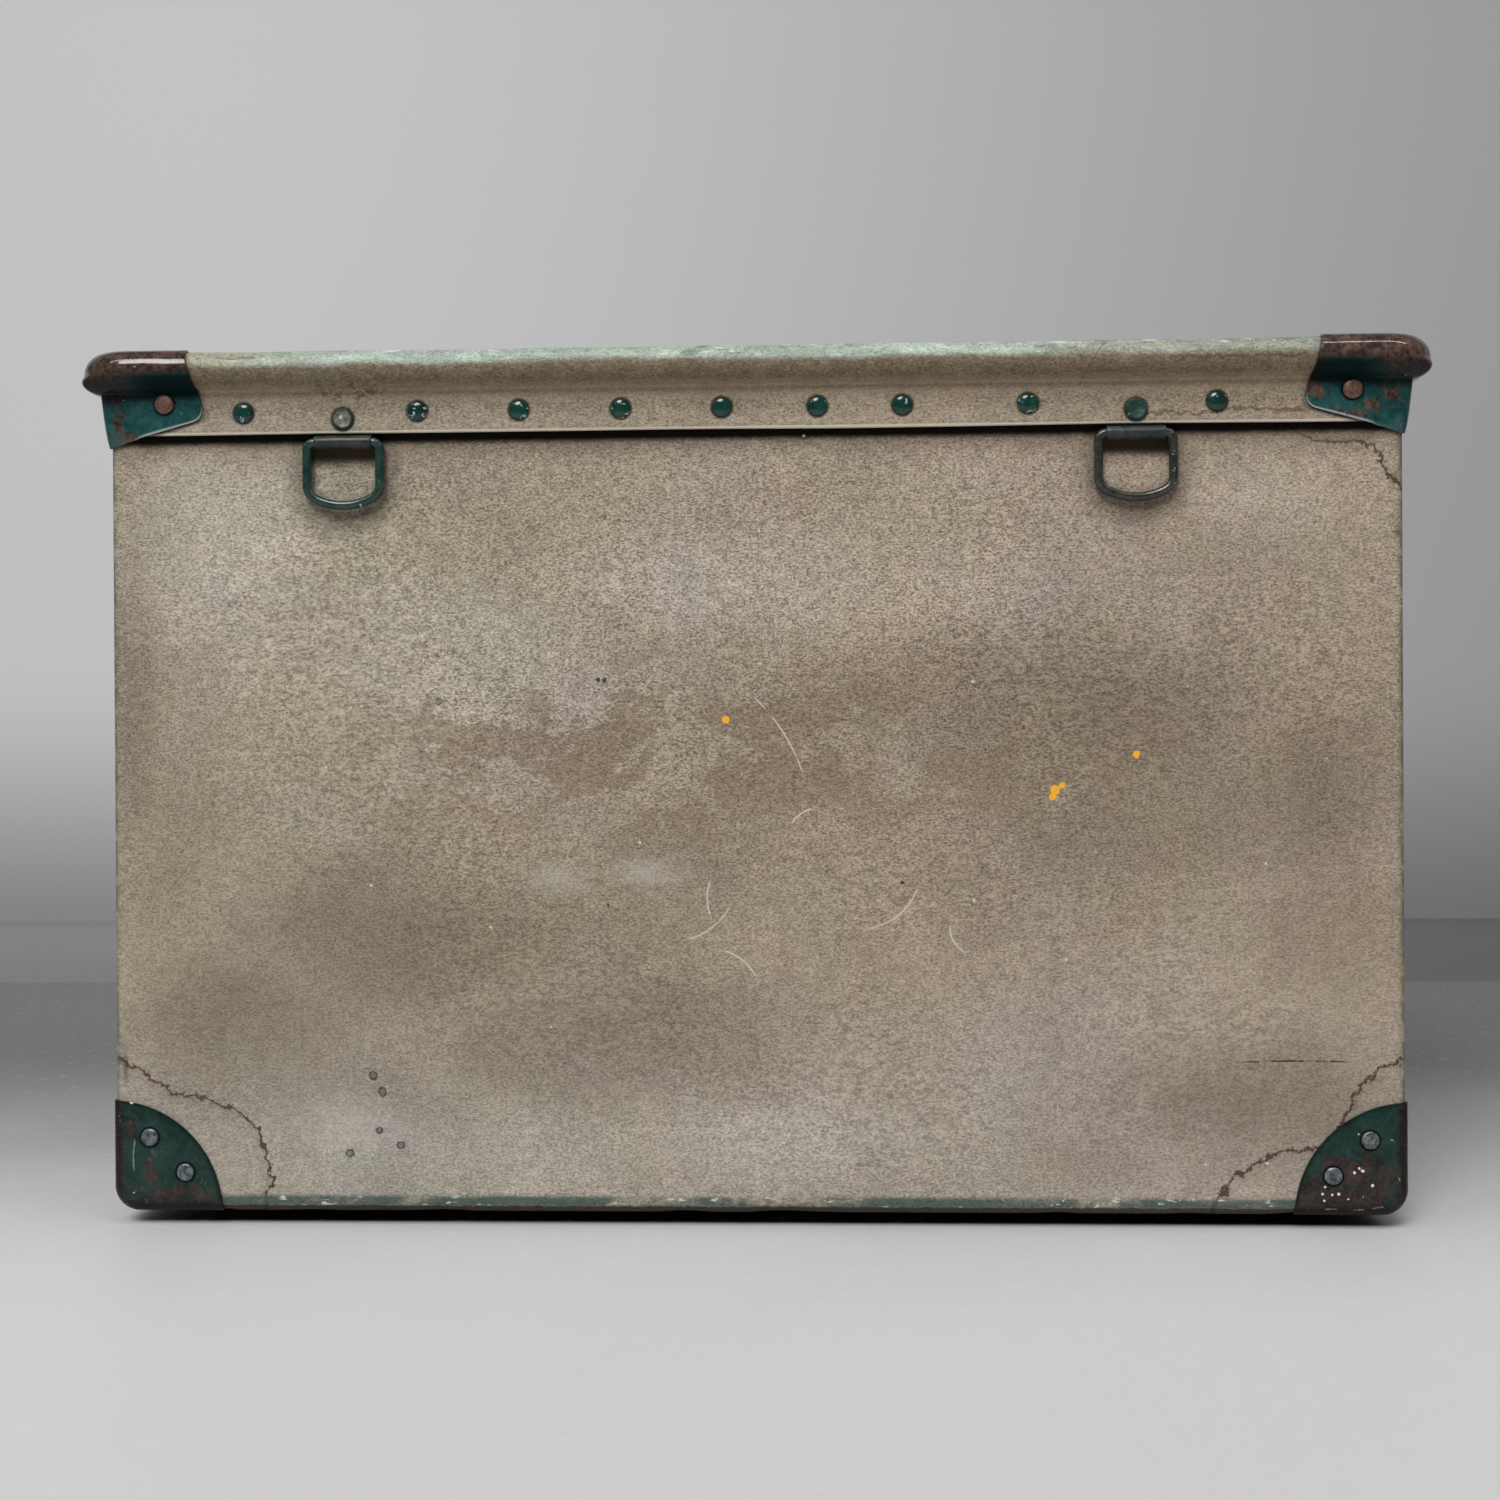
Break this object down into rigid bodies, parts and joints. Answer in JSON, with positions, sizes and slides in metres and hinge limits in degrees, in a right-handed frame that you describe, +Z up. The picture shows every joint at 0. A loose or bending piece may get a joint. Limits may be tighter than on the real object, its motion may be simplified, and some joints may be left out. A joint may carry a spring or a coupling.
{
  "type": "storage box",
  "caption": "Open-topped fibre storage box with a rolled riveted rim, steel corner caps, base runners and hinged D-rings.",
  "frame": {"origin": "on the floor, under the middle of the box", "axes": "+X along the front to the right, +Y from the front to the back, +Z up"},
  "size_m": [0.806, 0.536, 0.5251],
  "materials": {
    "fibre_sheet": "matte",
    "fibre_strip": "matte",
    "enamelled_steel": "satin",
    "ring_steel": "satin",
    "rusty_rivet": "satin",
    "bare_steel": "satin",
    "wood": "matte"
  },
  "bodies": {
    "box": {"base_cap_back_left": "enamelled_steel", "base_cap_back_right": "enamelled_steel", "base_cap_front_left": "enamelled_steel", "base_cap_front_right": "enamelled_steel", "base_cap_rivets": "bare_steel", "base_runner_back": "wood", "base_runner_front": "wood", "clip_burrs": "bare_steel", "clip_rivets": "enamelled_steel", "collar_burrs_back": "bare_steel", "collar_burrs_front": "bare_steel", "collar_burrs_left": "bare_steel", "collar_burrs_right": "bare_steel", "collar_rivets_back": "enamelled_steel", "collar_rivets_front": "enamelled_steel", "collar_rivets_left": "enamelled_steel", "collar_rivets_right": "enamelled_steel", "end_panel_left": "fibre_sheet", "end_panel_right": "fibre_sheet", "main_sheet": "fibre_sheet", "rim_cap_back_left": "enamelled_steel", "rim_cap_back_right": "enamelled_steel", "rim_cap_front_left": "enamelled_steel", "rim_cap_front_right": "enamelled_steel", "rim_cap_rivets": "rusty_rivet", "rim_collar_back": "fibre_strip", "rim_collar_front": "fibre_strip", "rim_collar_left": "fibre_strip", "rim_collar_right": "fibre_strip", "rim_core_back": "wood", "rim_core_front": "wood", "rim_core_left": "wood", "rim_core_right": "wood", "ring_clip_back_left": "ring_steel", "ring_clip_back_right": "ring_steel", "ring_clip_front_left": "ring_steel", "ring_clip_front_right": "ring_steel", "runner_screws": "bare_steel", "seam_burrs_left": "bare_steel", "seam_burrs_right": "bare_steel", "seam_rivets_left": "enamelled_steel", "seam_rivets_right": "enamelled_steel"},
    "ring_front_left": {"d_ring_front_left": "ring_steel"},
    "ring_front_right": {"d_ring_front_right": "ring_steel"},
    "ring_back_left": {"d_ring_back_left": "ring_steel"},
    "ring_back_right": {"d_ring_back_right": "ring_steel"}
  },
  "joints": [
    {"name": "ring_front_left_swing", "type": "hinge", "parent": "box", "child": "ring_front_left", "pos_m": [-0.242, -0.2541, 0.4691], "axis": [-1, 0, 0], "range_deg": [0, 140]},
    {"name": "ring_front_right_swing", "type": "hinge", "parent": "box", "child": "ring_front_right", "pos_m": [0.228, -0.2541, 0.4691], "axis": [-1, 0, 0], "range_deg": [0, 140]},
    {"name": "ring_back_left_swing", "type": "hinge", "parent": "box", "child": "ring_back_left", "pos_m": [0.242, 0.2541, 0.4691], "axis": [1, 0, 0], "range_deg": [0, 140]},
    {"name": "ring_back_right_swing", "type": "hinge", "parent": "box", "child": "ring_back_right", "pos_m": [-0.228, 0.2541, 0.4691], "axis": [1, 0, 0], "range_deg": [0, 140]}
  ]
}
